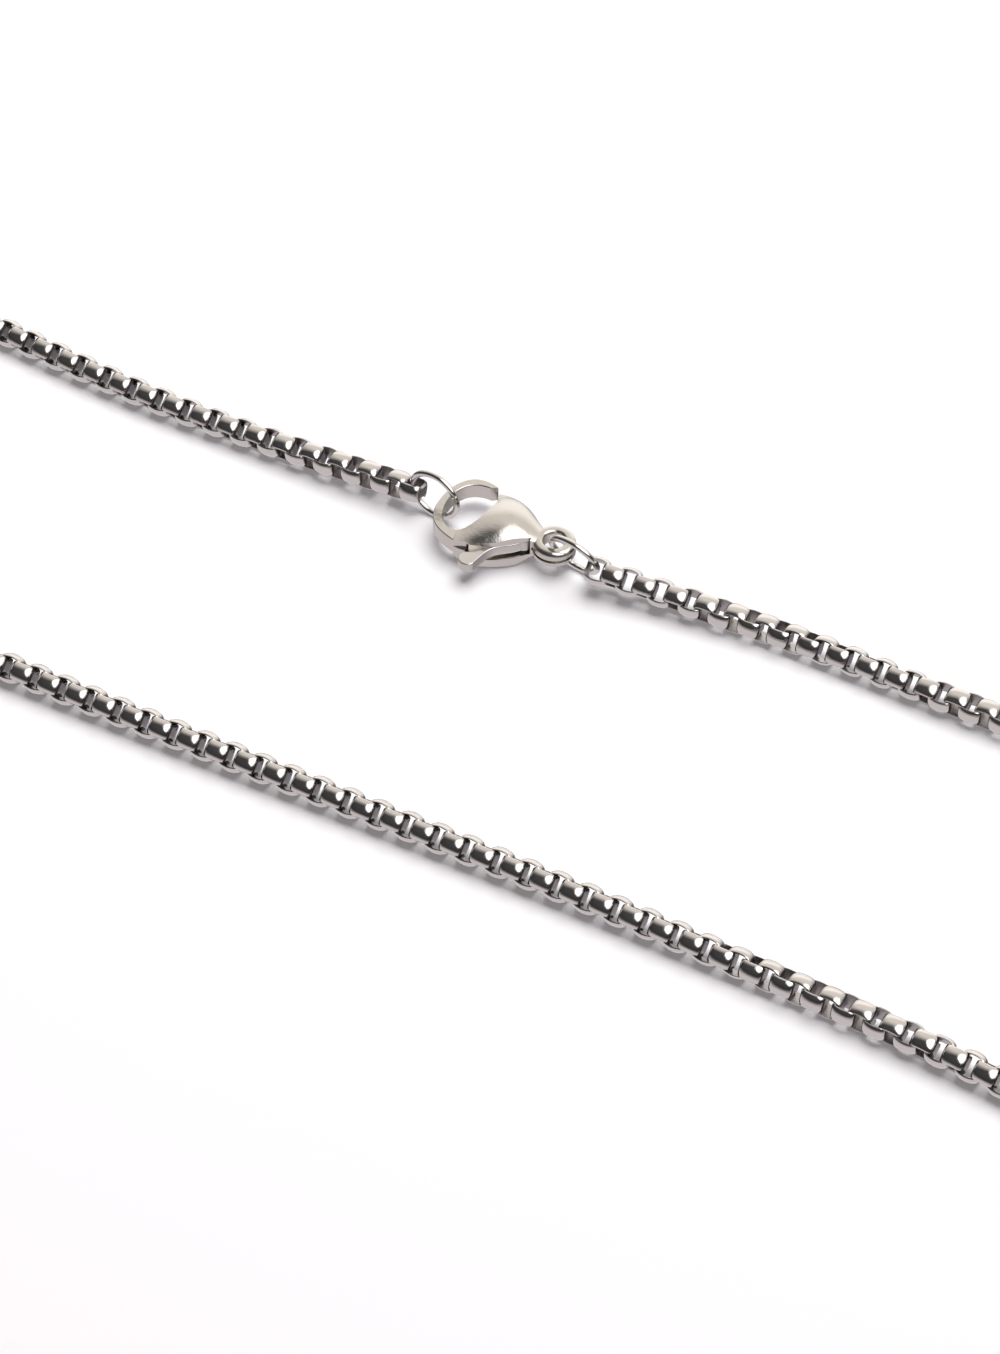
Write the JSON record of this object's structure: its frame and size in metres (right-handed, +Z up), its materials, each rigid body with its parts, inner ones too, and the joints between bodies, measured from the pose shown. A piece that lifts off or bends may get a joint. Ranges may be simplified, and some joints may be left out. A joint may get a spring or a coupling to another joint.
{
  "type": "box chain necklace",
  "caption": "Round box chain necklace in polished stainless steel, closed by a lobster clasp and laid flat as a long oval loop.",
  "frame": {"origin": "centre of the loop's outline, on the surface that the necklace lies on", "axes": "+X along the loop's long axis, from the clasp's hook to its tail; +Y towards the strand that holds the clasp; +Z up"},
  "size_m": [0.23, 0.0478, 0.0062],
  "materials": {
    "chain": "polished stainless steel",
    "rings": "polished stainless steel",
    "clasp": "polished stainless steel casting, satin on its flat faces",
    "lever": "satin stainless steel"
  },
  "bodies": {
    "necklace": {"strand": "chain", "end_link_tail": "chain", "end_link_hook": "chain", "jump_ring_tail": "rings", "jump_ring_hook": "rings", "clasp_body": "clasp", "lever_pin": "clasp"},
    "lever": {"clasp_lever": "lever"}
  },
  "joints": [
    {"name": "clasp_lever_hinge", "type": "hinge", "parent": "necklace", "child": "lever", "pos_m": [-0.0049, 0.019, 0.0022], "axis": [0, 0, 1], "range_deg": [0, 22], "stiffness_Nm_per_rad": 0.03, "springref_deg": -11.46}
  ]
}
